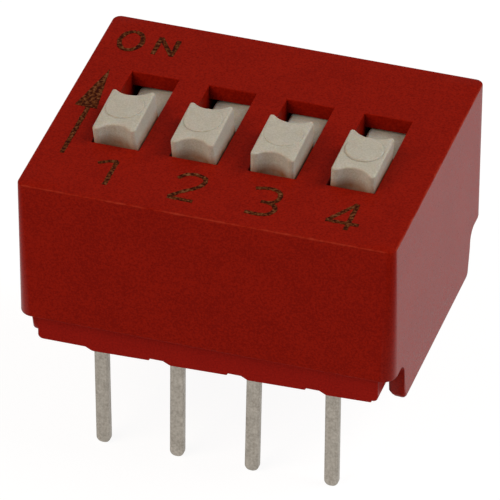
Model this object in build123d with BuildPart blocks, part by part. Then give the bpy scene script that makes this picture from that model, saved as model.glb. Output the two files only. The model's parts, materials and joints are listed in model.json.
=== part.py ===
"""Slide switch in a dual in-line package, with four knobs in a row.

Millimetres. The origin is the centre of the pin pattern, in the plane of the board that the
feet stand on. +X runs along the row of knobs, +Y points towards ON and +Z is up. Every knob
is at the OFF end of its slot.
"""
import os

from build123d import *

# Cover: a moulded box, open below, whose end walls run on down as feet
cover_length = 12.19
cover_depth = 9.84
body_height = 6.55
foot_height = 1.60
foot_top_inset = 1.27
foot_bottom_inset = 1.42
end_wall = 0.515
long_wall = 0.50
top_wall = 0.50
cover_corner_radius = 0.45
cover_inner_radius = 0.10
cover_top_bevel = 0.06
foot_corner_radius = 0.20
foot_inner_radius = 0.20
foot_root_radius = 0.40

# Pin pattern: equal cells between the end ribs give the standard 2.54 from switch to switch,
# and the setback from the long walls gives 7.62 from row to row
positions = 4
end_rib_inset = 0.20
pin_setback = 1.11

# Base: a floor that plugs the cover, with a rib on each side of every cell
base_end_gap = 0.05
base_setback = 0.33
base_standoff = 0.60
base_edge_radius = 0.18
plug_gap = 0.05
plug_height = 0.60
rib_thickness = 0.50
rib_gap = 0.25
rest_pad_height = 0.12
rest_pad_end_height = 0.07
rest_pad_lead = 0.24
rest_pad_slope = 0.22
rest_pad_gap = 0.44
rest_pad_depth = 0.50
rest_pad_radius = 0.05

# Terminals: flat strip, bent down into a pin
strip_thickness = 0.30
pin_width = 0.46
pin_length = 3.52
pin_corner_bevel = 0.09
pin_tip_bevel = 0.07
pin_tip_length = 0.16
pin_hole_gap = 0.02
land_width = 0.90
front_land_end = 0.45
rear_land_start = 1.20
strip_bend_radius = 0.24

# Actuators: a knob on a rail, over the block that carries the contact
travel = 1.88
knob_width = 1.42
knob_length = 2.12
knob_rise = 0.70
knob_shoulder = 0.19
scoop_depth = 0.27
knob_corner_radius = 0.08
knob_top_bevel = 0.06
disc_radius = 0.62
disc_offset = 0.10
disc_height = 0.04
slot_side_gap = 0.065
slot_end_gap = 0.03
rail_width = 1.10
rail_end_gap = 0.24
rail_thickness = 0.55
rail_gap = 0.05
rail_corner_radius = 0.18
block_side_gap = 0.17
block_length = 3.40
block_gap = 0.30
stake_radius = 0.20
stake_head = 0.10

# Contacts: thin sprung strip with two feet
contact_width = 0.90
contact_thickness = 0.12
contact_flat = 1.10
contact_foot_spacing = 2.40
contact_toe = 0.30
contact_toe_rise = 0.30
contact_bend_radius = 0.22
contact_running_gap = 0.05
contact_side_gap = 0.06
stake_hole_gap = 0.03

# How far a cut runs past the face it opens
overrun = 0.50

# Levels above the board
ceiling = body_height - top_wall
floor_top = foot_height + plug_height
land_top = floor_top + strip_thickness
rail_top = ceiling - rail_gap
rail_bottom = rail_top - rail_thickness
rib_top = rail_bottom - rib_gap
block_bottom = land_top + block_gap
knob_top = body_height + knob_rise

# Sizes that follow from the ones above
cavity_length = cover_length - 2 * end_wall
cavity_depth = cover_depth - 2 * long_wall
foot_top_width = cover_depth - 2 * foot_top_inset
foot_bottom_width = cover_depth - 2 * foot_bottom_inset
base_length = cavity_length - 2 * base_end_gap
base_depth = cover_depth - 2 * base_setback
plug_depth = cavity_depth - 2 * plug_gap
pitch = (base_length - 2 * end_rib_inset - rib_thickness) / positions
row_spacing = cover_depth - 2 * pin_setback
slot_width = knob_width + 2 * slot_side_gap
slot_length = knob_length + travel + 2 * slot_end_gap
scoop_width = knob_width - 2 * knob_shoulder
scoop_radius = ((scoop_width / 2) ** 2 + scoop_depth**2) / (2 * scoop_depth)
scoop_centre = knob_length / 2 - scoop_depth + scoop_radius
rail_length = cavity_depth - travel - 2 * rail_end_gap
block_width = pitch - rib_thickness - 2 * block_side_gap
contact_foot_level = land_top + contact_running_gap + contact_thickness / 2
contact_flat_level = contact_foot_level + contact_foot_spacing / 2 - contact_flat / 2
pocket_top = contact_flat_level + contact_thickness / 2
off_y = -travel / 2
row_y = row_spacing / 2
switch_x = [(i - (positions - 1) / 2) * pitch for i in range(positions)]

os.makedirs("parts", exist_ok=True)


def keep(piece, name):
    """Label a finished piece and write it."""
    piece.part.label = name
    export_step(piece.part, f"parts/{name}.step")


# Cover
with BuildPart() as cover:
    with BuildSketch(Plane.XY.offset(foot_height)):
        RectangleRounded(cover_length, cover_depth, cover_corner_radius)
    extrude(amount=body_height - foot_height)
    chamfer(cover.faces().sort_by(Axis.Z)[-1].edges(), cover_top_bevel)
    # Each end wall carries on below the box as a foot, a little narrower at the board
    for wall_x in (-cover_length / 2, cover_length / 2 - end_wall):
        with BuildSketch(Plane.YZ.offset(wall_x)) as foot:
            with BuildLine():
                Polyline(
                    (-foot_top_width / 2, foot_height),
                    (-foot_bottom_width / 2, 0),
                    (foot_bottom_width / 2, 0),
                    (foot_top_width / 2, foot_height),
                    close=True,
                )
            make_face()
            fillet(foot.vertices().group_by(Axis.Y)[0], foot_corner_radius)
        extrude(amount=end_wall)
    with BuildSketch(Plane.XY.offset(foot_height)):
        RectangleRounded(cavity_length, cavity_depth, cover_inner_radius)
    extrude(amount=ceiling - foot_height, mode=Mode.SUBTRACT)
    with BuildSketch(Plane.XY.offset(body_height + overrun)):
        with GridLocations(pitch, 0, positions, 1):
            Rectangle(slot_width, slot_length)
    extrude(amount=-(top_wall + overrun), mode=Mode.SUBTRACT)
    # The corner between a foot and the wall's lower edge is rounded
    cross_edges = cover.edges().filter_by(Axis.X).filter_by_position(Axis.Z, foot_height, foot_height)
    between_foot_and_wall = (foot_top_width + cavity_depth) / 4
    fillet(cross_edges.filter_by(lambda e: abs(e.center().Y) < between_foot_and_wall), foot_root_radius)
    # So is the inner lower edge of each foot
    with BuildSketch(Plane.XZ):
        for side in (-1, 1):
            inner_x = side * cavity_length / 2
            with Locations((inner_x + side * foot_inner_radius / 2, foot_inner_radius / 2)):
                Rectangle(foot_inner_radius, foot_inner_radius)
            with Locations((inner_x + side * foot_inner_radius, foot_inner_radius)):
                Circle(foot_inner_radius, mode=Mode.SUBTRACT)
    extrude(amount=cover_depth, both=True, mode=Mode.SUBTRACT)
keep(cover, "cover")

# Base
with BuildPart() as base:
    with BuildSketch(Plane.XY.offset(base_standoff)):
        Rectangle(base_length, base_depth)
    extrude(amount=foot_height - base_standoff)
    fillet(base.faces().sort_by(Axis.Z)[0].edges().filter_by(Axis.Y), base_edge_radius)
    with BuildSketch(Plane.XY.offset(foot_height)):
        Rectangle(base_length, plug_depth)
    extrude(amount=plug_height)
    with BuildSketch(Plane.XY.offset(floor_top)):
        with GridLocations(pitch, 0, positions + 1, 1):
            Rectangle(rib_thickness, plug_depth)
    extrude(amount=rib_top - floor_top)
    # Low pads beside the pins keep the floor off the board; the rear row is the front one turned round
    pad_level = base_standoff - rest_pad_height
    pad_end_level = base_standoff - rest_pad_end_height
    for side in (-1, 1):
        outside = Plane((0, side * base_depth / 2, 0), x_dir=(-side, 0, 0), z_dir=(0, side, 0))
        with BuildSketch(outside) as pads:
            for pin_x in switch_x:
                start = pin_x - rest_pad_lead
                end = min(start + pitch - rest_pad_gap, base_length / 2 - base_edge_radius)
                with BuildLine():
                    Polyline(
                        (start, base_standoff),
                        (start + rest_pad_slope, pad_level),
                        (end, pad_end_level),
                        (end, base_standoff),
                        close=True,
                    )
                make_face()
            fillet(pads.vertices().filter_by_position(Axis.Y, pad_level, pad_end_level), rest_pad_radius)
        extrude(amount=-rest_pad_depth)
    with BuildSketch(Plane.XY.offset(floor_top + overrun)):
        with GridLocations(pitch, row_spacing, positions, 2):
            Rectangle(pin_width + 2 * pin_hole_gap, strip_thickness + 2 * pin_hole_gap)
    extrude(amount=-(floor_top + overrun), mode=Mode.SUBTRACT)
keep(base, "base")


def make_terminal(pin_x, side, land_end, name):
    """A land that lies on the floor and the pin below it; side is -1 in front and 1 at the back."""
    outer_y = side * (row_y + strip_thickness / 2)
    with BuildPart() as terminal:
        with BuildSketch(Plane.XY.offset(floor_top)):
            with Locations((pin_x, (outer_y + land_end) / 2)):
                Rectangle(land_width, abs(outer_y - land_end))
        extrude(amount=strip_thickness)
        bend = terminal.edges().filter_by(Axis.X).group_by(Axis.Z)[-1].sort_by(Axis.Y)
        fillet(bend[0] if side < 0 else bend[-1], strip_bend_radius)
        with BuildSketch(Plane.XY.offset(floor_top)) as section:
            with Locations((pin_x, side * row_y)):
                Rectangle(pin_width, strip_thickness)
            chamfer(section.vertices(), pin_corner_bevel)
        extrude(amount=-(floor_top + pin_length))
        tip = terminal.faces().sort_by(Axis.Z)[0]
        chamfer(tip.edges(), pin_tip_bevel, pin_tip_length, reference=tip)
    keep(terminal, name)


def make_actuator(x, name):
    """Knob, rail and contact block in one moulding."""
    with BuildPart() as actuator:
        with BuildSketch(Plane((x, off_y, rail_top))) as outline:
            Rectangle(knob_width, knob_length)
            with Locations((0, -scoop_centre), (0, scoop_centre)):
                Circle(scoop_radius, mode=Mode.SUBTRACT)
            fillet(outline.vertices(), knob_corner_radius)
        extrude(amount=knob_top - rail_top)
        chamfer(actuator.faces().sort_by(Axis.Z)[-1].edges(), knob_top_bevel)
        # A round mark from the mould stands just proud of the knob
        with BuildSketch(Plane((x, off_y, knob_top))):
            with Locations((0, disc_offset)):
                Circle(disc_radius)
            with Locations((0, -scoop_centre), (0, scoop_centre)):
                Circle(scoop_radius + knob_top_bevel, mode=Mode.SUBTRACT)
        extrude(amount=disc_height)
        with BuildSketch(Plane((x, off_y, rail_bottom))):
            RectangleRounded(rail_width, rail_length, rail_corner_radius)
        extrude(amount=rail_thickness)
        with BuildSketch(Plane((x, off_y, block_bottom))):
            Rectangle(block_width, block_length)
        extrude(amount=rail_bottom - block_bottom)
        with BuildSketch(Plane((x, off_y, block_bottom - overrun))):
            Rectangle(contact_width + 2 * contact_side_gap, block_length + overrun)
        extrude(amount=pocket_top - block_bottom + overrun, mode=Mode.SUBTRACT)
        # The stake that the contact hangs on
        with BuildSketch(Plane((x, off_y, pocket_top))):
            Circle(stake_radius)
        extrude(amount=-(contact_thickness + stake_head))
    keep(actuator, name)


def make_contact(x, name):
    """Sprung strip, flat where the block holds it, with a foot and a turned-up toe at each end."""
    foot_y = contact_foot_spacing / 2
    toe_y = foot_y + contact_toe
    toe_level = contact_foot_level + contact_toe_rise
    with BuildPart() as contact:
        with BuildLine(Plane((x, off_y, 0), x_dir=(0, 1, 0), z_dir=(1, 0, 0))) as route:
            FilletPolyline(
                (-toe_y, toe_level),
                (-foot_y, contact_foot_level),
                (-contact_flat / 2, contact_flat_level),
                (contact_flat / 2, contact_flat_level),
                (foot_y, contact_foot_level),
                (toe_y, toe_level),
                radius=contact_bend_radius,
            )
        with BuildSketch(Plane(route.line @ 0, x_dir=(1, 0, 0), z_dir=route.line % 0)):
            Rectangle(contact_width, contact_thickness)
        sweep()
        with BuildSketch(Plane((x, off_y, pocket_top + overrun))):
            Circle(stake_radius + stake_hole_gap)
        extrude(amount=-(contact_thickness + 2 * overrun), mode=Mode.SUBTRACT)
    keep(contact, name)


for number, x in enumerate(switch_x, start=1):
    make_actuator(x, f"actuator_{number}")
    make_contact(x, f"contact_{number}")
    make_terminal(x, -1, front_land_end, f"terminal_front_{number}")
    make_terminal(x, 1, rear_land_start, f"terminal_rear_{number}")
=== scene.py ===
# %% [markdown]
# # A four-position slide DIP switch
#
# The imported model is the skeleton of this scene: it says how big each piece is, where it sits and
# how it moves. Here every piece that shows is modelled again with the small roundings that catch
# the light, and gets a finish. The frame comes first, because all the rest is measured from it.

# %% Load the frame
import json
import math

import bmesh
import bpy
from mathutils import Matrix, Vector, noise


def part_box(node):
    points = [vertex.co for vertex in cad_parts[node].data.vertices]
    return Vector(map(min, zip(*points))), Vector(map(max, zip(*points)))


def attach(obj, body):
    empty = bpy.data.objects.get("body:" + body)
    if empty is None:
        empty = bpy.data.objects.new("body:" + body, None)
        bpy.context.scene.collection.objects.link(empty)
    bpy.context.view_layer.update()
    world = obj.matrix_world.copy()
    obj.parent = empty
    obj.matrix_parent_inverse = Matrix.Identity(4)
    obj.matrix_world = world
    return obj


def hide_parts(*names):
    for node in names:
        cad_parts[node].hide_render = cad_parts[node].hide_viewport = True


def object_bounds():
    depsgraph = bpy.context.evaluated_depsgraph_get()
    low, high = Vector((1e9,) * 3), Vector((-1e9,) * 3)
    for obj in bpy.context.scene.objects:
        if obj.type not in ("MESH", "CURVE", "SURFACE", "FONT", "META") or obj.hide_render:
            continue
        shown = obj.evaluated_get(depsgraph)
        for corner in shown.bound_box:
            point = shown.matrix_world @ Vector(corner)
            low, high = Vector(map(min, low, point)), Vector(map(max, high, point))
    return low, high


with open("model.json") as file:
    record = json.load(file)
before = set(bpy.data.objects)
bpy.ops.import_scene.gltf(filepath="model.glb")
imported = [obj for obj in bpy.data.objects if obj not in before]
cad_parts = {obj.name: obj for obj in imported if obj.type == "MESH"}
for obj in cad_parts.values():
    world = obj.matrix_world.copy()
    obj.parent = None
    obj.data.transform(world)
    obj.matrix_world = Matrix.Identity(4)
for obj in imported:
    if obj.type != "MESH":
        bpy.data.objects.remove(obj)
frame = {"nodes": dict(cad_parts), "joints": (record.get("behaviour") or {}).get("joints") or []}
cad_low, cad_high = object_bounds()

MM = 0.001
X, Y, Z = range(3)
scene = bpy.context.scene
scene.view_settings.view_transform = "Standard"
print("nodes:", len(frame["nodes"]), "box in mm:", [round(v / MM, 2) for v in cad_high - cad_low])

# %% [markdown]
# ## Sizes
#
# Where the frame knows a size, it is read from the frame. The rest are small sizes inside a piece,
# such as a slot's width, and they stand here in millimetres, as on a drawing.

# %% Sizes read from the frame
POSITIONS = 4
cover_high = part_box("cover")[1]
base_low, base_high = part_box("base")
slide_low, slide_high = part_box("actuator_1")
front_row_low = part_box("terminal_front_1")[0]
rear_row_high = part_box("terminal_rear_1")[1]

half_length = cover_high.x
half_depth = cover_high.y
top = cover_high.z
switch_x = []
for number in range(1, POSITIONS + 1):
    low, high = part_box(f"actuator_{number}")
    switch_x.append((low.x + high.x) / 2)
pitch = switch_x[1] - switch_x[0]
travel = frame["joints"][0]["range_m"][1]
print("pitch", round(pitch / MM, 3), "mm, top face at", round(top / MM, 3), "mm")

# %% Sizes from the drawing
WALL_BOTTOM = 1.60 * MM
END_WALL = 0.515 * MM
LONG_WALL = 0.50 * MM
TOP_WALL = 0.50 * MM
FOOT_TOP_WIDTH = 7.30 * MM
FOOT_BOTTOM_WIDTH = 7.00 * MM
KNOB_WIDTH = 1.42 * MM
KNOB_LENGTH = 2.12 * MM
SLOT_SIDE_GAP = 0.065 * MM
SLOT_END_GAP = 0.03 * MM

ceiling = top - TOP_WALL
cavity_x = half_length - END_WALL
cavity_y = half_depth - LONG_WALL
slot_half_width = KNOB_WIDTH / 2 + SLOT_SIDE_GAP
slot_half_length = (KNOB_LENGTH + travel) / 2 + SLOT_END_GAP
tiny = 0.001 * MM
merge_distance = tiny / 10
print("slot", round(2 * slot_half_width / MM, 2), "by", round(2 * slot_half_length / MM, 2), "mm")

# %% [markdown]
# ## Helpers
#
# Moulded parts are boxes with smaller boxes pushed in or pulled out, and then softened edges. So a
# few helpers carry most of the work: make a box between two corners, slice the mesh along planes so
# that a patch of faces can be picked, push that patch in or out, and bevel the edges that a test picks.

# %% Helpers that make and slice boxes
def box_between(bm, low, high):
    """Add a box with these two corners."""
    low, high = Vector(low), Vector(high)
    made = bmesh.ops.create_cube(bm, size=1.0)["verts"]
    bmesh.ops.scale(bm, vec=high - low, verts=made)
    bmesh.ops.translate(bm, vec=(low + high) / 2, verts=made)
    return made


def slice_at(bm, axis, places, only=None):
    """Cut faces along planes square to an axis; a test on a face's middle can pick them."""
    square = Vector((0, 0, 0))
    square[axis] = 1
    for place in places:
        faces = [f for f in bm.faces if only is None or only(f.calc_center_median())]
        bmesh.ops.bisect_plane(
            bm,
            geom=list({part for f in faces for part in (*f.verts, *f.edges)}) + faces,
            dist=merge_distance,
            plane_co=square * place,
            plane_no=square,
        )


print("places closer than", round(tiny / MM, 4), "mm count as one")

# %% Helpers that pick, push and round
def faces_where(bm, test):
    """The faces whose middle and outward direction pass a test."""
    bm.normal_update()
    return [f for f in bm.faces if test(f.calc_center_median(), f.normal)]


def push(bm, faces, by):
    """Push or pull a patch of faces, with new walls along its border."""
    made = bmesh.ops.extrude_face_region(bm, geom=faces)["geom"]
    left = [f for f in faces if f.is_valid]
    bmesh.ops.delete(bm, geom=left, context="FACES_ONLY")
    verts = [g for g in made if isinstance(g, bmesh.types.BMVert)]
    bmesh.ops.translate(bm, vec=by, verts=verts)
    return [g for g in made if isinstance(g, bmesh.types.BMFace)]


def soften(bm, edges, radius, segments):
    """Round these edges."""
    bmesh.ops.bevel(
        bm,
        geom=edges,
        offset=radius,
        offset_type="OFFSET",
        segments=segments,
        profile=0.5,
        affect="EDGES",
        material=-1,
    )


def edges_where(bm, test):
    """The edges between two faces that pass a test on their middle and the two outward directions."""
    bm.normal_update()
    found = []
    for edge in bm.edges:
        if len(edge.link_faces) == 2:
            middle = (edge.verts[0].co + edge.verts[1].co) / 2
            if test(middle, edge.link_faces[0].normal, edge.link_faces[1].normal):
                found.append(edge)
    return found


def round_where(bm, test, radius, segments):
    """Round the edges that pass a test."""
    soften(bm, edges_where(bm, test), radius, segments)


# %% Tests that pick faces and edges
CREASE_COSINE = 0.7
FACING_COSINE = 0.5


def near(a, b):
    return abs(a - b) < tiny


def crease(one, other):
    """Whether two outward directions meet at a clear angle."""
    return one.dot(other) < CREASE_COSINE


def faces_up(direction):
    return direction.z > FACING_COSINE


def faces_down(direction):
    return direction.z < -FACING_COSINE


def runs_along_y(one, other):
    """Whether the edge between faces with these outward directions runs from front to back."""
    return abs(one.y) + abs(other.y) < FACING_COSINE


print("a crease turns by", round(math.degrees(math.acos(CREASE_COSINE))), "degrees or more")

# %% Helper that makes a finished piece
SMOOTH_ANGLE = math.radians(40)


def make_piece(bm, name, body, material, stands_for=()):
    """Turn a bmesh into a smooth-shaded piece that rides on a body."""
    bmesh.ops.delete(bm, geom=[e for e in bm.edges if e.is_wire], context="EDGES")
    bmesh.ops.remove_doubles(bm, verts=bm.verts[:], dist=merge_distance)
    bmesh.ops.recalc_face_normals(bm, faces=bm.faces[:])
    open_edges = sum(not e.is_manifold for e in bm.edges)
    mesh = bpy.data.meshes.new(name)
    bm.to_mesh(mesh)
    bm.free()
    mesh.polygons.foreach_set("use_smooth", [True] * len(mesh.polygons))
    mesh.set_sharp_from_angle(angle=SMOOTH_ANGLE)
    mesh.materials.append(material)
    piece = bpy.data.objects.new(name, mesh)
    scene.collection.objects.link(piece)
    flat = piece.modifiers.new("flat_faces", "WEIGHTED_NORMAL")
    flat.keep_sharp = True
    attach(piece, body)
    if stands_for:
        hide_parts(*stands_for)
    print(name, "faces", len(mesh.polygons), "open edges", open_edges)


# %% [markdown]
# ## Finishes
#
# All patterns read Object coordinates. The pieces sit at the origin, so these are the part's own
# coordinates in metres. One Mapping node turns them into millimetres, which keeps the scales easy to
# read: a noise of scale 10 has grains of about a tenth of a millimetre.

# %% Helper that starts a finish
def start_finish(name):
    """A material with its shader and a pattern space in millimetres."""
    material = bpy.data.materials.new(name)
    material.use_nodes = True
    nodes, links = material.node_tree.nodes, material.node_tree.links
    shader = nodes["Principled BSDF"]
    place = nodes.new("ShaderNodeTexCoord")
    space = nodes.new("ShaderNodeMapping")
    space.inputs["Scale"].default_value = (1 / MM, 1 / MM, 1 / MM)
    links.new(place.outputs["Object"], space.inputs["Vector"])
    return material, nodes, links, shader, space.outputs["Vector"]


# %% Helpers for patterns
NOISE_LOW, NOISE_HIGH = 0.3, 0.7


def add_noise(nodes, links, where, scale, detail=2.0, roughness=0.5):
    """A soft random pattern; scale is in grains per millimetre."""
    grains = nodes.new("ShaderNodeTexNoise")
    grains.inputs["Scale"].default_value = scale
    grains.inputs["Detail"].default_value = detail
    grains.inputs["Roughness"].default_value = roughness
    links.new(where, grains.inputs["Vector"])
    return grains.outputs["Fac"]


def add_ramp(nodes, links, value, stops):
    """Colours along a value; stops are (place, colour)."""
    ramp = nodes.new("ShaderNodeValToRGB")
    points = ramp.color_ramp.elements
    while len(points) < len(stops):
        points.new(0.5)
    for point, (place, colour) in zip(points, stops):
        point.position = place
        point.color = (*colour, 1.0)
    links.new(value, ramp.inputs["Fac"])
    return ramp.outputs["Color"]


def add_range(nodes, links, value, low, high, start=NOISE_LOW, end=NOISE_HIGH):
    """Spread a value that runs from start to end, as a noise's does, from low to high."""
    spread = nodes.new("ShaderNodeMapRange")
    spread.inputs["From Min"].default_value = start
    spread.inputs["From Max"].default_value = end
    spread.inputs["To Min"].default_value = low
    spread.inputs["To Max"].default_value = high
    links.new(value, spread.inputs["Value"])
    return spread.outputs["Result"]


print("a noise is taken to run from", NOISE_LOW, "to", NOISE_HIGH)

# %% Helpers for sums, mixes and bumps
def add_math(nodes, links, operation, *values):
    """One step of sums, on numbers and patterns alike."""
    step = nodes.new("ShaderNodeMath")
    step.operation = operation
    for socket, value in zip(step.inputs, values):
        if isinstance(value, float):
            socket.default_value = value
        else:
            links.new(value, socket)
    return step.outputs["Value"]


def add_blend(nodes, links, fine, share, slow):
    """Two patterns added up, the fine one with this share."""
    rest = add_math(nodes, links, "MULTIPLY", slow, 1 - share)
    return add_math(nodes, links, "MULTIPLY_ADD", fine, share, rest)


def add_mix(nodes, links, share, one, colour):
    """Go from a colour pattern to one colour where a pattern says so."""
    mix = nodes.new("ShaderNodeMix")
    mix.data_type = "RGBA"
    mix.inputs["B"].default_value = (*colour, 1.0)
    links.new(share, mix.inputs["Factor"])
    links.new(one, mix.inputs["A"])
    return mix.outputs["Result"]


def add_places(nodes, links, where):
    """The three coordinates of the pattern space, each on its own."""
    split = nodes.new("ShaderNodeSeparateXYZ")
    links.new(where, split.inputs["Vector"])
    return split.outputs["X"], split.outputs["Y"], split.outputs["Z"]


def add_bump(nodes, links, shader, height, depth, strength):
    """Let a pattern raise the surface by up to depth."""
    bump = nodes.new("ShaderNodeBump")
    bump.inputs["Strength"].default_value = strength
    bump.inputs["Distance"].default_value = depth
    links.new(height, bump.inputs["Height"])
    links.new(bump.outputs["Normal"], shader.inputs["Normal"])


print("patterns are drawn in units of", MM, "m")

# %% [markdown]
# ### Moulded red plastic
#
# Both mouldings are the same kind of plastic: a dense red with a fine matt grain from the mould. Real
# pigment is never quite even, so a slow noise drifts between two close reds and a fine one speckles
# it. The reflection is low and reddish when the surface is seen squarely, which keeps the red deep, and
# turns white and strong at a grazing angle.
# Along the rim of the cover's top there is a painted highlight: a thin, broken, lighter red where the
# rounded edge catches the light. The rim could be picked by hand, but here the place itself tells: how
# far a point lies inside the outline and below the top, added up, is nearly nothing only on that edge.

# %% Painted rim highlight
RIM_HIGHLIGHT_REACH = 0.10
RIM_HIGHLIGHT_FADE = 0.03
RIM_HIGHLIGHT_BREAKS = 2.5


def painted_rim_highlight(nodes, links, where):
    """1 where a highlight is painted along the top's rim, 0 elsewhere."""
    x, y, z = add_places(nodes, links, where)
    from_middle_x = add_math(nodes, links, "ABSOLUTE", x)
    from_middle_y = add_math(nodes, links, "ABSOLUTE", y)
    inside_x = add_math(nodes, links, "SUBTRACT", half_length / MM, from_middle_x)
    inside_y = add_math(nodes, links, "SUBTRACT", half_depth / MM, from_middle_y)
    inside = add_math(nodes, links, "MINIMUM", inside_x, inside_y)
    below = add_math(nodes, links, "SUBTRACT", top / MM, z)
    away = add_math(nodes, links, "ADD", inside, below)
    breaks = add_noise(nodes, links, where, RIM_HIGHLIGHT_BREAKS, detail=4.0, roughness=0.7)
    reach = add_math(nodes, links, "MULTIPLY", breaks, RIM_HIGHLIGHT_REACH)
    left = add_math(nodes, links, "SUBTRACT", reach, away)
    return add_range(nodes, links, left, 0.0, 1.0, start=0.0, end=RIM_HIGHLIGHT_FADE)


# The lighter line along the rim is a painted highlight
print("the rim is worn up to", RIM_HIGHLIGHT_REACH, "mm from its edge")

# %% Red plastic
RED_DRIFT, RED_SPECKLE, RED_GRAIN = 0.9, 17.0, 24.0
SPECKLE_SHARE = 0.80
RED_DARK_END, RED_BRIGHT_END = 0.40, 0.60
RED_GRAIN_DEPTH = 0.006 * MM
RED_IOR = 1.15
RED_TINT = (1.0, 0.2, 0.2, 1.0)
# The lighter red of the painted highlight along the rim
RIM_HIGHLIGHT_RED = (0.31, 0.028, 0.013)


def red_plastic(name, dark, bright, rough_low, rough_high, rim_highlight=None):
    """Moulded plastic between two close reds, with a third painted along its rim as a highlight."""
    material, nodes, links, shader, where = start_finish(name)
    drift = add_noise(nodes, links, where, RED_DRIFT, detail=3.0)
    speckle = add_noise(nodes, links, where, RED_SPECKLE)
    both = add_blend(nodes, links, speckle, SPECKLE_SHARE, drift)
    shade = add_ramp(nodes, links, both, [(RED_DARK_END, dark), (RED_BRIGHT_END, bright)])
    if rim_highlight:
        shade = add_mix(nodes, links, painted_rim_highlight(nodes, links, where), shade, rim_highlight)
    links.new(shade, shader.inputs["Base Color"])
    links.new(add_range(nodes, links, speckle, rough_low, rough_high), shader.inputs["Roughness"])
    shader.inputs["IOR"].default_value = RED_IOR
    shader.inputs["Specular Tint"].default_value = RED_TINT
    grain = add_noise(nodes, links, where, RED_GRAIN, detail=3.0)
    add_bump(nodes, links, shader, grain, RED_GRAIN_DEPTH, strength=0.6)
    return material


cover_red = red_plastic(
    "cover_red",
    dark=(0.182, 0.0044, 0.0011),
    bright=(0.248, 0.0078, 0.0020),
    rough_low=0.27,
    rough_high=0.37,
    rim_highlight=RIM_HIGHLIGHT_RED,
)
base_red = red_plastic(
    "base_red",
    dark=(0.220, 0.0062, 0.0036),
    bright=(0.280, 0.0095, 0.0050),
    rough_low=0.40,
    rough_high=0.50,
)
print("reds:", cover_red.name, base_red.name)

# %% [markdown]
# ### Ivory knobs
#
# The slides are a warm off-white plastic, a little chalky, with a fine grain. Light goes some way into
# it, the red part of the light furthest, which is what subsurface scattering does. Round the foot of
# each knob a brown is painted in, as painted bounce light and painted shade: it stands in for the red
# light thrown back by the cover and the shade where the knob meets it, is strongest inside the slot and
# fades within a quarter of a millimetre above it.

# %% Ivory plastic
IVORY_CLOUDS, IVORY_GRAIN = 2.2, 20.0
IVORY_GRAIN_SHARE = 0.75
IVORY_GRAIN_DEPTH = 0.005 * MM
IVORY_SHADES = [(0.38, (0.385, 0.366, 0.305)), (0.62, (0.470, 0.454, 0.395))]
IVORY_IOR = 1.30
LIGHT_DEPTH = 0.22 * MM
LIGHT_SPREAD = (1.0, 0.50, 0.28)
LIGHT_SHARE = 0.40
# Painted brown at the foot of each knob: red light thrown back by the cover, and shade
BOUNCE_SHADE_BROWN = (0.25, 0.078, 0.024)
BOUNCE_SHADE_START, BOUNCE_SHADE_REACH = -0.05, 0.26
BOUNCE_SHADE_RISE = 0.1
BOUNCE_SHADE_LEAST, BOUNCE_SHADE_MOST = 0.55, 0.95
IVORY_SMOOTH, IVORY_ROUGH = 0.48, 0.62


def painted_bounce_shade(nodes, links, where, clouds):
    """Painted bounce and shade, strongest inside the slot and gone a little way above it and below the
    ceiling.
    """
    height = add_places(nodes, links, where)[Z]
    above = add_math(nodes, links, "SUBTRACT", height, top / MM)
    foot = -TOP_WALL / MM
    coming = add_range(nodes, links, above, 0.0, 1.0, start=foot, end=foot + BOUNCE_SHADE_RISE)
    going = add_range(nodes, links, above, 1.0, 0.0, start=BOUNCE_SHADE_START, end=BOUNCE_SHADE_REACH)
    band = add_math(nodes, links, "MULTIPLY", coming, going)
    patches = add_range(nodes, links, clouds, BOUNCE_SHADE_LEAST, BOUNCE_SHADE_MOST)
    return add_math(nodes, links, "MULTIPLY", band, patches)


def ivory_plastic(name):
    material, nodes, links, shader, where = start_finish(name)
    clouds = add_noise(nodes, links, where, IVORY_CLOUDS, detail=3.0)
    grain = add_noise(nodes, links, where, IVORY_GRAIN, detail=3.0)
    both = add_blend(nodes, links, grain, IVORY_GRAIN_SHARE, clouds)
    shade = add_ramp(nodes, links, both, IVORY_SHADES)
    # The foot of the knob gets a painted brown of bounce light and shade
    bounce_shade = painted_bounce_shade(nodes, links, where, clouds)
    links.new(add_mix(nodes, links, bounce_shade, shade, BOUNCE_SHADE_BROWN), shader.inputs["Base Color"])
    roughness = add_range(nodes, links, grain, IVORY_SMOOTH, IVORY_ROUGH)
    links.new(roughness, shader.inputs["Roughness"])
    shader.inputs["IOR"].default_value = IVORY_IOR
    shader.inputs["Subsurface Weight"].default_value = LIGHT_SHARE
    shader.inputs["Subsurface Radius"].default_value = LIGHT_SPREAD
    shader.inputs["Subsurface Scale"].default_value = LIGHT_DEPTH
    add_bump(nodes, links, shader, grain, IVORY_GRAIN_DEPTH, strength=0.6)
    return material


knob_ivory = ivory_plastic("knob_ivory")
print("light goes", round(LIGHT_DEPTH / MM, 2), "mm into", knob_ivory.name)

# %% [markdown]
# ### Tinned pins
#
# The pins are tinned copper alloy. Old tin is dull and a little warm, with fine lines along the pin
# where the strip was rolled and drawn. Stretching a noise along the pin gives those lines, and a second
# and a third one add stains and a fine grain.

# %% Tinned metal
TIN_LINES, TIN_STAIN, TIN_GRAIN = 18.0, 3.0, 15.0
TIN_STRETCH = (1.0, 1.0, 0.06)
TIN_GRAIN_SHARE = 0.65
TIN_LINE_DEPTH = 0.004 * MM
TIN_DARK_END, TIN_BRIGHT_END = 0.36, 0.64
TIN_SMOOTH, TIN_ROUGH = 0.40, 0.58


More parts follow.
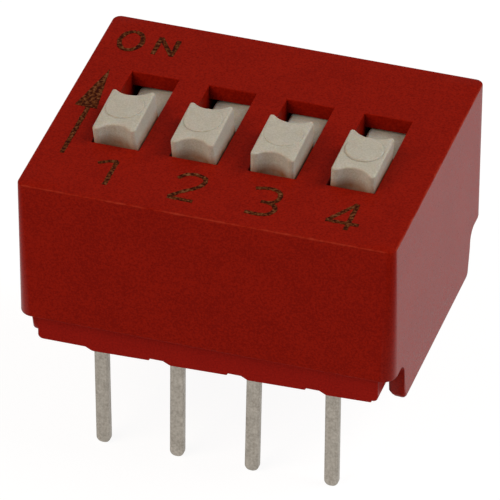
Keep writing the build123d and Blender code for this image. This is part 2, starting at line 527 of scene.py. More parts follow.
def tinned_metal(name, dark, bright):
    material, nodes, links, shader, where = start_finish(name)
    shader.inputs["Metallic"].default_value = 1.0
    stretch = nodes.new("ShaderNodeMapping")
    stretch.inputs["Scale"].default_value = TIN_STRETCH
    links.new(where, stretch.inputs["Vector"])
    lines = add_noise(nodes, links, stretch.outputs["Vector"], TIN_LINES, detail=3.0)
    stain = add_noise(nodes, links, where, TIN_STAIN, detail=3.0)
    grain = add_noise(nodes, links, where, TIN_GRAIN, detail=3.0)
    both = add_blend(nodes, links, grain, TIN_GRAIN_SHARE, stain)
    shade = add_ramp(nodes, links, both, [(TIN_DARK_END, dark), (TIN_BRIGHT_END, bright)])
    links.new(shade, shader.inputs["Base Color"])
    roughness = add_range(nodes, links, lines, TIN_SMOOTH, TIN_ROUGH)
    links.new(roughness, shader.inputs["Roughness"])
    add_bump(nodes, links, shader, lines, TIN_LINE_DEPTH, strength=0.5)
    return material


pin_tin = tinned_metal("pin_tin", dark=(0.290, 0.263, 0.224), bright=(0.440, 0.404, 0.350))
contact_metal = tinned_metal("contact_metal", dark=(0.50, 0.36, 0.16), bright=(0.62, 0.46, 0.22))
print("metals:", pin_tin.name, contact_metal.name)

# %% [markdown]
# ### Laser marking
#
# The legends are burnt into the plastic by a laser, which leaves a brown line made of overlapping
# pits. A fine noise goes through a dark scorch, a brown and a greyish foam, and dents the surface too.

# %% Scorched marking
PITS = 9.0
PIT_DEPTH = 0.01 * MM
SCORCH, BROWN, FOAM = (0.028, 0.003, 0.001), (0.092, 0.021, 0.003), (0.165, 0.066, 0.028)
MARKING_ROUGHNESS = 0.85


def scorched_marking(name):
    material, nodes, links, shader, where = start_finish(name)
    pits = add_noise(nodes, links, where, PITS, roughness=0.6)
    shade = add_ramp(nodes, links, pits, [(0.43, SCORCH), (0.54, BROWN), (0.70, FOAM)])
    links.new(shade, shader.inputs["Base Color"])
    shader.inputs["Roughness"].default_value = MARKING_ROUGHNESS
    shader.inputs["IOR"].default_value = RED_IOR
    add_bump(nodes, links, shader, pits, PIT_DEPTH, strength=0.6)
    return material


marking = scorched_marking("scorched_marking")
print("marking:", marking.name, "with", PITS, "pits to the millimetre")

# %% [markdown]
# ## The cover
#
# The cover is a box, open below, with a slot for each knob and a foot under each end wall. It could
# be cut out of a block with booleans, but those leave long thin faces that shade badly once edges are
# rounded. Slicing the box along the lines of the drawing first gives clean patches: the middle of the
# underside is pushed up to make the hollow, the patches under the end walls are pulled down as feet,
# and each slot is a patch taken out of the top and the ceiling, with the two holes bridged.

# %% Cover, walls and hollow
cover = bmesh.new()
box_between(cover, (-half_length, -half_depth, WALL_BOTTOM), (half_length, half_depth, top))
slot_sides = [x + side * slot_half_width for x in switch_x for side in (-1, 1)]
slice_at(cover, X, slot_sides + [-cavity_x, cavity_x])
foot_half = FOOT_TOP_WIDTH / 2
slice_at(cover, Y, [s * y for s in (-1, 1) for y in (slot_half_length, foot_half, cavity_y)])
underside = faces_where(
    cover, lambda c, n: faces_down(n) and abs(c.x) < cavity_x and abs(c.y) < cavity_y
)
push(cover, underside, (0, 0, ceiling - WALL_BOTTOM))
print("cover walls:", len(cover.faces), "faces")

# %% Cover, slots
def slot_lid(c, n):
    in_slot = abs(c.y) < slot_half_length and any(abs(c.x - x) < slot_half_width for x in switch_x)
    return in_slot and c.z > ceiling - tiny and (faces_up(n) or faces_down(n))


lids = faces_where(cover, slot_lid)
bmesh.ops.delete(cover, geom=lids, context="FACES_ONLY")
for x in switch_x:
    rims = [
        e for e in cover.edges
        if e.is_boundary and abs((e.verts[0].co.x + e.verts[1].co.x) / 2 - x) < slot_half_width + tiny
    ]
    bmesh.ops.bridge_loops(cover, edges=rims)
print("lids taken out:", len(lids))

# %% [markdown]
# The rail of a slide is narrower than its slot, and what shows beside it is red in deep shade, not
# black. So the slot's long walls are taken to run on below the ceiling, as guides for the rail. Each
# guide is a strip of the ceiling, pulled down now that the slots are bridged. The feet are pulled down
# from the end walls in the same way, and drawn in a little at the board.

# %% Cover, guides and feet
GUIDE_WIDTH = 0.20 * MM
GUIDE_DEPTH = 0.50 * MM
GUIDE_HALF_LENGTH = 2.80 * MM


def beside_slot(c, n):
    aside = min(abs(c.x - x) for x in switch_x) - slot_half_width
    on_ceiling = near(c.z, ceiling) and faces_down(n)
    return on_ceiling and 0 < aside < GUIDE_WIDTH and abs(c.y) < GUIDE_HALF_LENGTH


def under_end_wall(c, n):
    under_wall = faces_down(n) and c.z < WALL_BOTTOM + tiny
    return under_wall and abs(c.x) > cavity_x and abs(c.y) < foot_half


guide_sides = [x + side * (slot_half_width + GUIDE_WIDTH) for x in switch_x for side in (-1, 1)]
slice_at(cover, X, guide_sides, lambda c: near(c.z, ceiling))
slice_at(cover, Y, [-GUIDE_HALF_LENGTH, GUIDE_HALF_LENGTH], lambda c: near(c.z, ceiling))
push(cover, faces_where(cover, beside_slot), (0, 0, -GUIDE_DEPTH))
feet = push(cover, faces_where(cover, under_end_wall), (0, 0, -WALL_BOTTOM))
foot_verts = list({v for f in feet for v in f.verts})
bmesh.ops.scale(cover, vec=(1, FOOT_BOTTOM_WIDTH / FOOT_TOP_WIDTH, 1), verts=foot_verts)
print("cover with slots and feet:", len(cover.faces), "faces")

# %% [markdown]
# A mould's edges are never sharp. The upright corners have a generous radius that narrows towards the
# top: the bevel makes it even, and then the arc at the top is scaled about the corner it was cut from.
# The rim of the top and the slots get only a hint of a radius, just enough to catch some light. Where
# two roundings meet, the large one comes first, so that the small one runs along finished edges.

# %% Cover, corners
CORNER_RADIUS = 0.45 * MM
CORNER_TOP_RADIUS = 0.27 * MM


def upright_corner(m, a, b):
    return near(abs(m.x), half_length) and near(abs(m.y), half_depth)


round_where(cover, upright_corner, CORNER_RADIUS, segments=8)
narrow = CORNER_TOP_RADIUS / CORNER_RADIUS
for corner_x in (-half_length, half_length):
    for corner_y in (-half_depth, half_depth):
        corner = Vector((corner_x, corner_y, top))
        reach = CORNER_RADIUS + tiny
        arc = [v for v in cover.verts if near(v.co.z, top) and (v.co - corner).length < reach]
        bmesh.ops.scale(cover, vec=(narrow, narrow, 1), space=Matrix.Translation(-corner), verts=arc)
print("upright corners:", CORNER_RADIUS / MM, "mm below,", CORNER_TOP_RADIUS / MM, "mm above")

# %% Cover, roundings
FOOT_RADIUS = 0.22 * MM
FOOT_ROOT_RADIUS = 0.40 * MM
FOOT_OUTER_RADIUS = 0.12 * MM
LOWER_RIM_RADIUS = 0.04 * MM
RIM_RADIUS = 0.05 * MM
SLOT_RIM_RADIUS = 0.025 * MM


def foot_end(m, a, b):
    return m.z < tiny and crease(a, b) and abs(m.x) < half_length - tiny


def foot_root(m, a, b):
    return near(m.z, WALL_BOTTOM) and near(abs(m.y), foot_half) and crease(a, b)


def foot_outer(m, a, b):
    return m.z < FOOT_RADIUS and crease(a, b)


def lower_rim(m, a, b):
    return near(m.z, WALL_BOTTOM) and abs(m.y) > half_depth - CORNER_RADIUS and crease(a, b)


def any_top_edge(m, a, b):
    return near(m.z, top) and crease(a, b)


def top_rim(m, a, b):
    by_slots = abs(m.y) < slot_half_length + tiny and abs(m.x) < cavity_x
    return any_top_edge(m, a, b) and not by_slots


round_where(cover, foot_end, FOOT_RADIUS, segments=5)
round_where(cover, foot_root, FOOT_ROOT_RADIUS, segments=6)
round_where(cover, foot_outer, FOOT_OUTER_RADIUS, segments=3)
round_where(cover, lower_rim, LOWER_RIM_RADIUS, segments=2)
round_where(cover, top_rim, RIM_RADIUS, segments=3)
round_where(cover, any_top_edge, SLOT_RIM_RADIUS, segments=2)
make_piece(cover, "cover_shell", "housing", cover_red, ["cover"])

# %% [markdown]
# ## The base
#
# The base is the floor that closes the cover. Only its front edge, its ends and its underside show,
# but it keeps its inside too: the step that plugs the cover and the ribs between the switches. Along its
# long sides the rim stays a hair below the cover's wall, and that slit is the dark line of the seam. Low
# pads beside the pins hold the floor off the board, which lets solder flux be washed out.

# %% Base, floor, plug and ribs
BASE_STANDOFF = 0.60 * MM
PLUG_HALF_DEPTH = 4.37 * MM
FLOOR_TOP = 2.20 * MM
RIB_HALF = 0.25 * MM
SEAM = 0.06 * MM
SEAM_DEPTH = 0.12 * MM

base = bmesh.new()
box_between(
    base,
    (base_low.x, base_low.y, BASE_STANDOFF),
    (base_high.x, base_high.y, WALL_BOTTOM - SEAM),
)
rib_x = [(i - POSITIONS / 2) * pitch for i in range(POSITIONS + 1)]
slice_at(base, X, [x + side * RIB_HALF for x in rib_x for side in (-1, 1)])
seam_half = base_high.y - SEAM_DEPTH
slice_at(base, Y, [side * y for side in (-1, 1) for y in (seam_half, PLUG_HALF_DEPTH)])
inside_seam = faces_where(base, lambda c, n: faces_up(n) and abs(c.y) < seam_half)
ledge = push(base, inside_seam, (0, 0, SEAM))
plug = push(
    base,
    [f for f in ledge if abs(f.calc_center_median().y) < PLUG_HALF_DEPTH],
    (0, 0, FLOOR_TOP - WALL_BOTTOM),
)
ribs = [f for f in plug if any(abs(f.calc_center_median().x - x) < RIB_HALF for x in rib_x)]
push(base, ribs, (0, 0, base_high.z - FLOOR_TOP))
print("ribs at", [round(x / MM, 2) for x in rib_x], "mm")

# %% [markdown]
# The pads are pulled down from patches along the edge of the underside. Each begins with a slope beside
# its pin, thins out to the right and ends in a small step. The front row is drawn; the rear row is the
# same turned round.

# %% Base, pads
PAD_LEAD = 0.17 * MM
PAD_SLOPE = 0.22 * MM
PAD_GAP = 0.44 * MM
PAD_END_HEIGHT = 0.07 * MM
PAD_DEPTH = 0.50 * MM
PAD_RADIUS = 0.05 * MM
BASE_EDGE_RADIUS = 0.16 * MM

pad_level = base_low.z
pad_inner = base_high.y - PAD_DEPTH
last_end = rib_x[-1] + RIB_HALF
pads = [(x - PAD_LEAD, min(x - PAD_LEAD + pitch - PAD_GAP, last_end)) for x in switch_x]
slice_at(base, Y, [-pad_inner, pad_inner], lambda c: near(c.z, BASE_STANDOFF))
for side in (-1, 1):
    slice_at(
        base,
        X,
        [-side * x for pad in pads for x in pad],
        lambda c: near(c.z, BASE_STANDOFF) and side * c.y > pad_inner,
    )


def pad_at(point):
    """The pad that a point of the underside lies on, and how far along the row it is."""
    along = -point.x if point.y > 0 else point.x
    if abs(point.y) > pad_inner - tiny:
        return next((pad for pad in pads if pad[0] - tiny < along < pad[1] + tiny), None), along
    return None, along


def pad_patch(c, n):
    return near(c.z, BASE_STANDOFF) and faces_down(n) and pad_at(c)[0]


push(base, faces_where(base, pad_patch), (0, 0, pad_level - BASE_STANDOFF))
for vert in base.verts:
    pad, along = pad_at(vert.co)
    if near(vert.co.z, pad_level) and pad:
        if near(along, pad[0]):
            vert.co.x += math.copysign(PAD_SLOPE, -vert.co.y)
        else:
            run = (along - pad[0] - PAD_SLOPE) / (pad[1] - pad[0] - PAD_SLOPE)
            vert.co.z += run * (BASE_STANDOFF - PAD_END_HEIGHT - pad_level)
print("pads in mm:", [(round(start / MM, 2), round(end / MM, 2)) for start, end in pads])

# %% Base, roundings
PAD_TURN = 0.3


def across_pad(m, a, b):
    """Edges that cross a pad's underside, at its slope and at its end."""
    return m.z < BASE_STANDOFF - tiny and abs(a.x - b.x) > PAD_TURN and runs_along_y(a, b)


def lower_end(m, a, b):
    return near(abs(m.x), base_high.x) and near(m.z, BASE_STANDOFF) and crease(a, b)


round_where(base, across_pad, PAD_RADIUS, segments=3)
round_where(base, lower_end, BASE_EDGE_RADIUS, segments=5)
print("base so far:", len(base.faces), "faces")

# %% [markdown]
# The pins pass through real holes: a patch of the floor above, one of the underside below, and the two
# rims bridged. Pins get bent a little in handling, so each front pin has its own small shift, at the
# floor and at its tip, and its hole follows it.

# %% Base, pin holes
HOLE_GAP = 0.02 * MM
STRIP = 0.30 * MM
PIN_WIDTH = 0.46 * MM
PIN_SHIFTS = [
    (0.09 * MM, 0.165 * MM),
    (0.08 * MM, 0.05 * MM),
    (0.065 * MM, -0.03 * MM),
    (0.065 * MM, 0.035 * MM),
]

row_y = {-1: front_row_low.y + STRIP / 2, 1: rear_row_high.y - STRIP / 2}
holes = [(x + shift[0], row_y[-1]) for x, shift in zip(switch_x, PIN_SHIFTS)]
holes += [(x, row_y[1]) for x in switch_x]
hole_half_x = PIN_WIDTH / 2 + HOLE_GAP
hole_half_y = STRIP / 2 + HOLE_GAP


def above_or_below(c):
    return abs(c.y) < pad_inner and (near(c.z, FLOOR_TOP) or near(c.z, BASE_STANDOFF))


slice_at(base, X, [x + side * hole_half_x for x, y in holes for side in (-1, 1)], above_or_below)
slice_at(base, Y, [y + side * hole_half_y for y in row_y.values() for side in (-1, 1)], above_or_below)
for x, y in holes:
    in_hole = faces_where(
        base,
        lambda c, n: above_or_below(c) and abs(c.x - x) < hole_half_x and abs(c.y - y) < hole_half_y,
    )
    bmesh.ops.delete(base, geom=in_hole, context="FACES_ONLY")
    bmesh.ops.bridge_loops(base, edges=[e for e in base.edges if e.is_boundary])
make_piece(base, "base_moulding", "housing", base_red, ["base"])

# %% [markdown]
# ## The pins
#
# Each terminal is a strip that lies on the floor as a land and turns down through it as a pin. The
# strip is blanked from sheet with a round tip that finds the hole, and tinning softens its edges. So the
# tip is rounded first, across the pin's width, and then a bevel runs down both sides and round the tip.

# %% Terminals
PIN_CORNER = 0.08 * MM
PIN_TIP = 0.20 * MM
BEND_RADIUS = 0.24 * MM
BROAD_COSINE = 0.9


def on_outline(a, b):
    """Whether an edge lies between a broad face of the pin and a narrow one."""
    return crease(a, b) and (abs(a.y) > BROAD_COSINE) != (abs(b.y) > BROAD_COSINE)


def make_terminal(node, shift):
    """A land and its pin; shift says how far the pin has been bent aside at the floor and at its tip."""
    low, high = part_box(node)
    side = 1 if "rear" in node else -1
    x = (low.x + high.x) / 2 + shift[0]
    outer = high.y if side > 0 else low.y
    land_bottom = high.z - STRIP
    bm = bmesh.new()
    box_between(bm, (low.x, low.y, land_bottom), high)
    slice_at(bm, X, [x - PIN_WIDTH / 2, x + PIN_WIDTH / 2])
    slice_at(bm, Y, [outer - side * STRIP])
    patch = faces_where(
        bm, lambda c, n: faces_down(n) and abs(c.x - x) < PIN_WIDTH / 2 and abs(c.y - outer) < STRIP
    )
    tip = push(bm, patch, (0, 0, low.z - land_bottom))
    tip_verts = list({v for f in tip for v in f.verts})
    bmesh.ops.translate(bm, vec=(shift[1] - shift[0], 0, 0), verts=tip_verts)
    round_where(bm, lambda m, a, b: near(m.z, low.z) and runs_along_y(a, b), PIN_TIP, segments=6)
    below_land = land_bottom - tiny
    round_where(bm, lambda m, a, b: m.z < below_land and on_outline(a, b), PIN_CORNER, segments=4)
    round_where(
        bm,
        lambda m, a, b: near(m.z, high.z) and near(m.y, outer) and crease(a, b),
        BEND_RADIUS,
        segments=5,
    )
    make_piece(bm, f"{node}_pin", "housing", pin_tin, [node])


for number in range(1, POSITIONS + 1):
    make_terminal(f"terminal_front_{number}", PIN_SHIFTS[number - 1])
    make_terminal(f"terminal_rear_{number}", (0, 0))

# %% [markdown]
# ## The slides
#
# A slide is a knob on a rail, with a block below that carries the contact. The knob is hollowed front
# and back for a fingernail or a pen: in front between two flat shoulders, at the back over nearly all of
# its width, which leaves two blunt points. Its outline is drawn with a spin: one upright line turned about
# the hollow's axis leaves a curved wall behind it. Then the ends are filled and the edges softened.

# %% Knob sizes
FRONT_SHOULDER = 0.19 * MM
BACK_SHOULDER = 0.13 * MM
FRONT_HOLLOW = 0.27 * MM
BACK_HOLLOW = 0.24 * MM
KNOB_RISE = 0.685 * MM
RAIL_GAP = 0.05 * MM

half_width, half_knob = KNOB_WIDTH / 2, KNOB_LENGTH / 2
lip_half = half_width - FRONT_SHOULDER
rail_top = ceiling - RAIL_GAP
knob_top = top + KNOB_RISE
print("knob's top at", round(knob_top / MM, 3), "mm, rail's top at", round(rail_top / MM, 3), "mm")

# %% Knob, outline
HOLLOW_STEPS = 14


def upright(bm, x, y):
    """An upright line over a point of the plan."""
    return bm.edges.new((bm.verts.new((x, y, rail_top)), bm.verts.new((x, y, knob_top))))


def hollow_wall(bm, end, half, depth):
    """Sweep the curved wall of the hollow at one end, and return its two upright borders."""
    radius = (half**2 + depth**2) / (2 * depth)
    centre = end * (half_knob - depth + radius)
    first = upright(bm, -end * half, end * half_knob)
    swept = bmesh.ops.spin(
        bm,
        geom=[first, *first.verts],
        cent=(0, centre, 0),
        axis=(0, 0, 1),
        angle=2 * math.asin(half / radius),
        steps=HOLLOW_STEPS,
    )
    print("hollow of radius", round(radius / MM, 3), "mm")
    return first, next(g for g in swept["geom_last"] if isinstance(g, bmesh.types.BMEdge))


knob = bmesh.new()
front_right, front_left = hollow_wall(knob, -1, lip_half, FRONT_HOLLOW)
back_left, back_right = hollow_wall(knob, 1, half_width - BACK_SHOULDER, BACK_HOLLOW)
for side, lip, point in ((-1, front_left, back_left), (1, front_right, back_right)):
    corner = upright(knob, side * half_width, -half_knob)
    far_corner = upright(knob, side * half_width, half_knob)
    for one, other in ((lip, corner), (corner, far_corner), (far_corner, point)):
        bmesh.ops.contextual_create(knob, geom=[one, other])
bmesh.ops.remove_doubles(knob, verts=knob.verts[:], dist=merge_distance)
bmesh.ops.holes_fill(knob, edges=[e for e in knob.edges if e.is_boundary], sides=0)
bmesh.ops.recalc_face_normals(knob, faces=knob.faces[:])

# %% Knob, roundings
KNOB_CORNER = 0.10 * MM
LEFT_POINT = 0.065 * MM
RIGHT_POINT = 0.095 * MM
KNOB_LIP = 0.08 * MM
KNOB_TOP_RADIUS = 0.06 * MM
middle_z = (rail_top + knob_top) / 2


def upright_edges(at_x, end):
    """The upright creases of the knob at a distance from its middle, at one end."""
    return edges_where(
        knob,
        lambda m, a, b: near(m.z, middle_z)
        and near(abs(m.x), at_x)
        and end * m.y > 0
        and crease(a, b),
    )


soften(knob, upright_edges(half_width, -1), KNOB_CORNER, segments=4)
for side, radius in ((-1, LEFT_POINT), (1, RIGHT_POINT)):
    point = [e for e in upright_edges(half_width, 1) if side * e.verts[0].co.x > 0]
    soften(knob, point, radius, segments=4)
soften(knob, upright_edges(lip_half, -1), KNOB_LIP, segments=4)
round_where(knob, lambda m, a, b: near(m.z, knob_top) and crease(a, b), KNOB_TOP_RADIUS, segments=3)
print("knob", len(knob.faces), "faces")

# %% [markdown]
# The round mark on top of the knob is where a pin pushed it out of the mould. It is a shallow disc that
# stands a few hundredths of a millimetre proud, more on one knob than on the others. Light wanders about
# inside this plastic, so the disc must be one skin with the knob: the knob's top is filled again round
# a circle, and the circle's own face is pulled up later.

# %% Knob, round mark
MARK_RADIUS = 0.61 * MM
MARK_OFFSET = 0.15 * MM
MARK_SEGMENTS = 48


def on_knob_top(c, n):
    return faces_up(n) and near(c.z, knob_top)


bmesh.ops.delete(knob, geom=faces_where(knob, on_knob_top), context="FACES_ONLY")
border = [e for e in knob.edges if e.is_boundary]
circle = bmesh.ops.create_circle(knob, radius=MARK_RADIUS, segments=MARK_SEGMENTS)["verts"]
bmesh.ops.translate(knob, vec=(0, MARK_OFFSET, knob_top), verts=circle)
mark_rim = list({e for v in circle for e in v.link_edges})
# The fill needs larger numbers than these, so the knob is a thousand times its size meanwhile
bmesh.ops.scale(knob, vec=(1 / MM, 1 / MM, 1 / MM), verts=knob.verts[:])
bmesh.ops.triangle_fill(knob, use_beauty=True, normal=(0, 0, 1), edges=border + mark_rim)
bmesh.ops.scale(knob, vec=(MM, MM, MM), verts=knob.verts[:])
bmesh.ops.contextual_create(knob, geom=mark_rim)
bmesh.ops.recalc_face_normals(knob, faces=knob.faces[:])
print("round mark of radius", MARK_RADIUS / MM, "mm")

# %% Knob, raising the mark
MARK_SLOPE = 0.25
MARK_ROUNDING = 0.45


def raise_mark(bm, height):
    """Pull the round mark up and soften its rim."""
    face = max(faces_where(bm, on_knob_top), key=lambda f: len(f.verts))
    disc = push(bm, [face], (0, 0, height))[0]
    narrower = 1 - MARK_SLOPE * height / MARK_RADIUS
    about_mark = Matrix.Translation((0, -MARK_OFFSET, 0))
    bmesh.ops.scale(bm, vec=(narrower, narrower, 1), space=about_mark, verts=disc.verts[:])
    round_where(
        bm,
        lambda m, a, b: near(m.z, knob_top + height) and crease(a, b),
        MARK_ROUNDING * height,
        segments=3,
    )


print("the mark's rim leans in by", MARK_SLOPE, "of its height")

# %% [markdown]
# The rail closes the slot under the knob at either end of its way, and the block below it holds the
# contact in a pocket. Both are boxes: the rail with rounded ends and edges, because it shows, and the
# block with its pocket pushed up from below.

# %% Rail and block
RAIL_WIDTH = 1.28 * MM
RAIL_THICKNESS = 0.55 * MM
RAIL_CORNER = 0.18 * MM
RAIL_EDGE = 0.12 * MM
BLOCK_LENGTH = 3.40 * MM
POCKET_WIDTH = 1.02 * MM
POCKET_TOP = 3.32 * MM

rail_bottom = rail_top - RAIL_THICKNESS
rail_half_length = (slide_high.y - slide_low.y) / 2
rail = bmesh.new()
box_between(
    rail,
    (-RAIL_WIDTH / 2, -rail_half_length, rail_bottom),
    (RAIL_WIDTH / 2, rail_half_length, rail_top),
)
rail_middle = (rail_bottom + rail_top) / 2
round_where(rail, lambda m, a, b: near(m.z, rail_middle), RAIL_CORNER, segments=5)
round_where(rail, lambda m, a, b: crease(a, b), RAIL_EDGE, segments=4)

block_half_width = (slide_high.x - slide_low.x) / 2
block = bmesh.new()
box_between(
    block,
    (-block_half_width, -BLOCK_LENGTH / 2, slide_low.z),
    (block_half_width, BLOCK_LENGTH / 2, rail_bottom),
)
slice_at(block, X, [-POCKET_WIDTH / 2, POCKET_WIDTH / 2])
push(
    block,
    faces_where(block, lambda c, n: faces_down(n) and abs(c.x) < POCKET_WIDTH / 2),
    (0, 0, POCKET_TOP - slide_low.z),
)
print("rail", round(2 * rail_half_length / MM, 2), "mm long")

# %% [markdown]
# There is play between a knob and its slot, so no two knobs stand alike. Each one is turned a few
# degrees about its rail and sits a little aside, within that play, and sinks where the turn would lift
# an edge. All of them rise slightly towards the back.

# %% Slides
LEANS = [math.radians(a) for a in (6.5, 4.8, -0.3, -2.6)]
ASIDES = [0.03 * MM, 0.01 * MM, -0.01 * MM, 0.02 * MM]
MARK_HEIGHTS = [0.032 * MM, 0.036 * MM, 0.020 * MM, 0.062 * MM]
LEAN_AXIS_Z = 6.30 * MM
KNOB_TILT = 0.038


def join(bm, other):
    """Put a second mesh into the first."""
    carrier = bpy.data.meshes.new("carrier")
    other.to_mesh(carrier)
    other.free()
    bm.from_mesh(carrier)
    bpy.data.meshes.remove(carrier)


for number, x in enumerate(switch_x, start=1):
    slide = knob.copy()
    raise_mark(slide, MARK_HEIGHTS[number - 1])
    for vert in slide.verts:
        if vert.co.z > top:
            vert.co.z += KNOB_TILT * vert.co.y
    join(slide, rail.copy())
    lean = Matrix.Rotation(-LEANS[number - 1], 3, "Y")
    bmesh.ops.rotate(slide, cent=(0, 0, LEAN_AXIS_Z), matrix=lean, verts=slide.verts[:])
    sink = max(max(v.co.z for v in slide.verts) - slide_high.z, 0)
    bmesh.ops.translate(slide, vec=(ASIDES[number - 1], 0, -sink), verts=slide.verts[:])
    join(slide, block.copy())
    bmesh.ops.translate(slide, vec=(x, -travel / 2, 0), verts=slide.verts[:])
    print("slide", number, "sinks", round(sink / MM, 3), "mm")
    make_piece(
        slide,
        f"slide_{number}_moulding",
        f"slide_{number}",
        knob_ivory,
        [f"actuator_{number}"],
    )
knob.free()
rail.free()
block.free()

# %% [markdown]
# ## The legends
#
# The legends are drawn by a laser spot that runs along each stroke, so they are modelled the same way: a
# band along a chain of points. Curved strokes are smoothed first. The band's border wavers a little,
# as the scorch does. The bands are thin plates that stand a few thousandths of a millimetre proud, each
# at a height of its own, so that no two faces lie in one plane where strokes cross.

# %% Strokes of the legends
straight_strokes = {
    "one_flag": [(-4.03, -3.05), (-3.72, -2.87), (-3.46, -2.81)],
    "one_stem": [(-3.48, -2.80), (-3.48, -4.12)],
    "two_foot": [(-1.44, -4.13), (-0.62, -4.15)],
    "four_slope": [(4.28, -2.76), (3.60, -3.80)],
    "four_bar": [(3.56, -3.82), (4.62, -3.82)],
    "four_stem": [(4.28, -2.76), (4.28, -4.17)],
    "n_left": [(-4.27, 3.13), (-4.27, 4.10)],
    "n_slope": [(-4.27, 4.08), (-3.68, 3.20)],
    "n_right": [(-3.68, 3.16), (-3.68, 4.08)],
    "arrow_stem": [(-5.27, -0.20), (-5.27, -2.88)],
}
curved_strokes = {
    "two_bow": [(-1.42, -3.08), (-1.22, -2.83), (-0.95, -2.76), (-0.66, -2.83), (-0.55, -3.03),
                (-0.62, -3.30), (-0.85, -3.55), (-1.15, -3.80), (-1.42, -4.10)],
    "three_top": [(1.03, -2.87), (1.30, -2.79), (1.60, -2.78), (1.85, -2.95), (1.87, -3.28),
                  (1.70, -3.47), (1.38, -3.50)],
    "three_low": [(1.55, -3.49), (1.80, -3.58), (1.93, -3.78), (1.85, -4.02), (1.60, -4.17),
                  (1.06, -4.15)],
}
arrow_head = [(-5.72, -0.25), (-5.28, 1.95), (-4.98, -0.30)]
print("strokes:", len(straight_strokes), "straight,", len(curved_strokes), "curved")

# %% Ring of the O
RING_X, RING_Y = -5.14, 3.63
RING_HALF_WIDTH, RING_HALF_HEIGHT = 0.36, 0.52
RING_STEPS = 16
RING_GAP = 0.005

turns = [
    2 * math.pi * (RING_GAP + (1 - 2 * RING_GAP) * t / RING_STEPS) for t in range(RING_STEPS + 1)
]
curved_strokes["o_ring"] = [
    (RING_X + RING_HALF_WIDTH * math.sin(a), RING_Y + RING_HALF_HEIGHT * math.cos(a)) for a in turns
]
print("ring of", len(turns), "points, with a small gap where it closes")

# %% Helpers for the strokes
STROKE = 0.15 * MM
CURVE_STEPS = 6
WAVER = 0.022 * MM
WAVER_SCALE = 9.0
WAVER_SEED = 1

# Without a seed the noise would start from the clock, and each run would draw another border
noise.seed_set(WAVER_SEED)


def smoothed(points):
    """More points on a curve that passes through the given ones."""
    path = []
    padded = [points[0], *points, points[-1]]
    for before, a, b, after in zip(padded, padded[1:], padded[2:], padded[3:]):
        for step in range(CURVE_STEPS):
            t = step / CURVE_STEPS
            path.append(0.5 * (2 * a + (b - before) * t + (2 * before - 5 * a + 4 * b - after) * t**2
                               + (3 * a - before - 3 * b + after) * t**3))
    return path + [points[-1]]


def evenly(points, step):
    """Points at even steps along a chain."""
    path = [points[0]]
    for a, b in zip(points, points[1:]):
        count = max(1, round((b - a).length / step))
        path += [a.lerp(b, (i + 1) / count) for i in range(count)]
    return path


def wavered(point):
    """Shift a border point by a small amount that depends on its place."""
    return point + WAVER * noise.noise_vector(point / MM * WAVER_SCALE).to_2d().to_3d()


def band(bm, points, height):
    """Lay a flat band along a chain of points."""
    rows = []
    for i, point in enumerate(points):
        ahead = points[min(i + 1, len(points) - 1)] - points[max(i - 1, 0)]
        aside = Vector((-ahead.y, ahead.x, 0)).normalized() * STROKE / 2
        at = point + Vector((0, 0, height))
        rows.append([bm.verts.new(wavered(at + aside)), bm.verts.new(wavered(at - aside))])
    for one, other in zip(rows, rows[1:]):
        bm.faces.new((one[0], one[1], other[1], other[0]))


print("stroke", round(STROKE / MM, 2), "mm wide, wavering by", round(WAVER / MM, 3), "mm")

# %% Legends, bands
LEGEND_PROUD = 0.004 * MM
LEGEND_LAYER = 0.12
LEGEND_STEP = 0.03 * MM

legend = bmesh.new()
layer = 0
for strokes, curved in ((straight_strokes, False), (curved_strokes, True)):
    for points in strokes.values():
        chain = [Vector((x, y, 0)) * MM for x, y in points]
        layer += 1
        chain = smoothed(chain) if curved else chain
        band(legend, evenly(chain, LEGEND_STEP), top + LEGEND_PROUD * (1 + LEGEND_LAYER * layer))
print("bands:", layer)

# %% Legends, arrow head
LEGEND_THICKNESS = 0.02 * MM

rim = []
corners = [Vector((x, y, 0)) * MM for x, y in arrow_head]
for a, b in zip(corners, corners[1:] + corners[:1]):
    rim += evenly([a, b], LEGEND_STEP)[:-1]
legend.faces.new([legend.verts.new(wavered(p + Vector((0, 0, top + LEGEND_PROUD)))) for p in rim])
bmesh.ops.recalc_face_normals(legend, faces=legend.faces[:])
for face in legend.faces:
    if face.normal.z < 0:
        face.normal_flip()
bmesh.ops.solidify(legend, geom=legend.faces[:], thickness=LEGEND_THICKNESS)
make_piece(legend, "legends", "housing", marking)

# %% [markdown]
# ## Camera
#
# A small part is photographed from far off with a long lens, so that its edges hardly draw together. The
# camera could be placed by eye, but here it was worked out from the part's straight edges and the known
# pitch of its pins: two angles, a slight roll, a distance, and a shift of the aim off the middle.

# %% Camera
CAMERA_AZIMUTH = math.radians(17.38)
CAMERA_ELEVATION = math.radians(35.53)
CAMERA_ROLL = math.radians(0.21)
CAMERA_DISTANCE = 261.9 * MM
CAMERA_ASIDE = 0.0665 * MM
CAMERA_ABOVE = 3.6715 * MM
LENS_PIXELS = 8438.0
IMAGE_PIXELS = 500.0
SENSOR = 36.0
NEAREST_SEEN = 0.01

back = Vector((
    math.sin(CAMERA_AZIMUTH) * math.cos(CAMERA_ELEVATION),
    -math.cos(CAMERA_AZIMUTH) * math.cos(CAMERA_ELEVATION),
    math.sin(CAMERA_ELEVATION),
))
right = Vector((math.cos(CAMERA_AZIMUTH), math.sin(CAMERA_AZIMUTH), 0))
up = back.cross(right)
turned_right = math.cos(CAMERA_ROLL) * right + math.sin(CAMERA_ROLL) * up
turned_up = math.cos(CAMERA_ROLL) * up - math.sin(CAMERA_ROLL) * right
aim = Vector((0, 0, top)) - CAMERA_ASIDE * turned_right - CAMERA_ABOVE * turned_up
eye = aim + CAMERA_DISTANCE * back

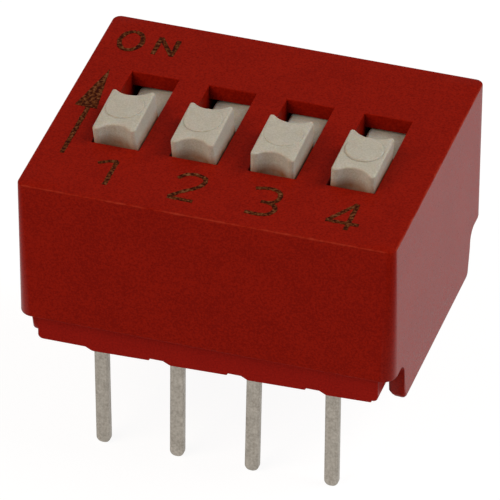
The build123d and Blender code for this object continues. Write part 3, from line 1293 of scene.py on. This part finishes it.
lens = bpy.data.cameras.new("camera")
lens.sensor_width = SENSOR
lens.lens = SENSOR * LENS_PIXELS / IMAGE_PIXELS
lens.clip_start = NEAREST_SEEN
camera = bpy.data.objects.new("camera", lens)
facing = Matrix((turned_right, turned_up, back)).transposed().to_4x4()
camera.matrix_world = Matrix.Translation(eye) @ facing
scene.collection.objects.link(camera)
scene.camera = camera
print("camera", round(lens.lens, 1), "mm lens")

# %% [markdown]
# ## Floor
#
# The part stands on white paper. Lit paper alone would need so much light to look white that the part
# would be overlit. So the paper glows a little, but only for what looks at it, the camera and the
# reflections. It throws no light of its own on the part, and the matt share keeps the shadow.

# %% Floor
FLOOR_HALF = 1.5

floor_mesh = bmesh.new()
bmesh.ops.create_grid(floor_mesh, x_segments=1, y_segments=1, size=FLOOR_HALF)
bmesh.ops.translate(floor_mesh, vec=(0, 0, cad_low.z), verts=floor_mesh.verts[:])
floor_data = bpy.data.meshes.new("floor")
floor_mesh.to_mesh(floor_data)
floor_mesh.free()
floor = bpy.data.objects.new("floor", floor_data)
scene.collection.objects.link(floor)
print("floor at", round(cad_low.z / MM, 2), "mm")

# %% White paper
PAPER_WHITE = (0.82, 0.82, 0.82, 1)
PAPER_GLOW = 1.09
GLOW_SHARE = 0.85

paper = bpy.data.materials.new("white_paper")
paper.use_nodes = True
nodes, links = paper.node_tree.nodes, paper.node_tree.links
nodes.clear()
matt = nodes.new("ShaderNodeBsdfDiffuse")
matt.inputs["Color"].default_value = PAPER_WHITE
glow = nodes.new("ShaderNodeEmission")
glow.inputs["Color"].default_value = (1, 1, 1, 1)
glow.inputs["Strength"].default_value = PAPER_GLOW
ray = nodes.new("ShaderNodeLightPath").outputs
seen = add_math(nodes, links, "MAXIMUM", ray["Is Camera Ray"], ray["Is Glossy Ray"])
seen = add_math(nodes, links, "MAXIMUM", seen, ray["Is Transmission Ray"])
blend = nodes.new("ShaderNodeMixShader")
links.new(add_math(nodes, links, "MULTIPLY", seen, GLOW_SHARE), blend.inputs["Fac"])
links.new(matt.outputs[0], blend.inputs[1])
links.new(glow.outputs[0], blend.inputs[2])
out = nodes.new("ShaderNodeOutputMaterial")
links.new(blend.outputs[0], out.inputs["Surface"])
floor_data.materials.append(paper)
print("paper glows by", PAPER_GLOW, "over", GLOW_SHARE, "of its shade")

# %% [markdown]
# ## Light
#
# Two soft boxes and a pale room light the part. The one on the right, a little behind the part, lights
# its top and draws the rims. The warmer one in front, on the left, fills the front. They are large for
# such a small part, which is what makes the shadows soft.

# %% Light
ROOM_COLOUR = (1.0, 0.97, 0.94, 1)
ROOM_STRENGTH = 0.25

world = bpy.data.worlds.new("soft_room")
scene.world = world
world.use_nodes = True
room = world.node_tree.nodes["Background"]
room.inputs["Color"].default_value = ROOM_COLOUR
room.inputs["Strength"].default_value = ROOM_STRENGTH


def add_panel(name, place, size, power, colour):
    """A square soft box that faces the part."""
    data = bpy.data.lights.new(name, "AREA")
    data.shape = "SQUARE"
    data.size = size
    data.energy = power
    data.color = colour
    panel = bpy.data.objects.new(name, data)
    place = Vector(place)
    away = place - Vector((0, 0, top / 2))
    panel.matrix_world = Matrix.Translation(place) @ away.to_track_quat("Z", "Y").to_matrix().to_4x4()
    scene.collection.objects.link(panel)
    print(name, "is", round(away.length, 3), "m away")


add_panel("back_panel", (0.26, 0.09, 0.265), size=0.24, power=0.94, colour=(1.0, 0.99, 0.97))
add_panel("front_panel", (-0.22, -0.26, 0.28), size=0.30, power=1.10, colour=(1.0, 0.82, 0.68))

# %% [markdown]
# ## Contacts
#
# The sprung contacts lie out of sight in the housing, so their imported shapes stay as they are and only
# get a metal finish.

# %% Contacts
for name in frame["nodes"]:
    if name.startswith("contact_"):
        frame["nodes"][name].data.materials.clear()
        frame["nodes"][name].data.materials.append(contact_metal)
        print(name, "gets", contact_metal.name)
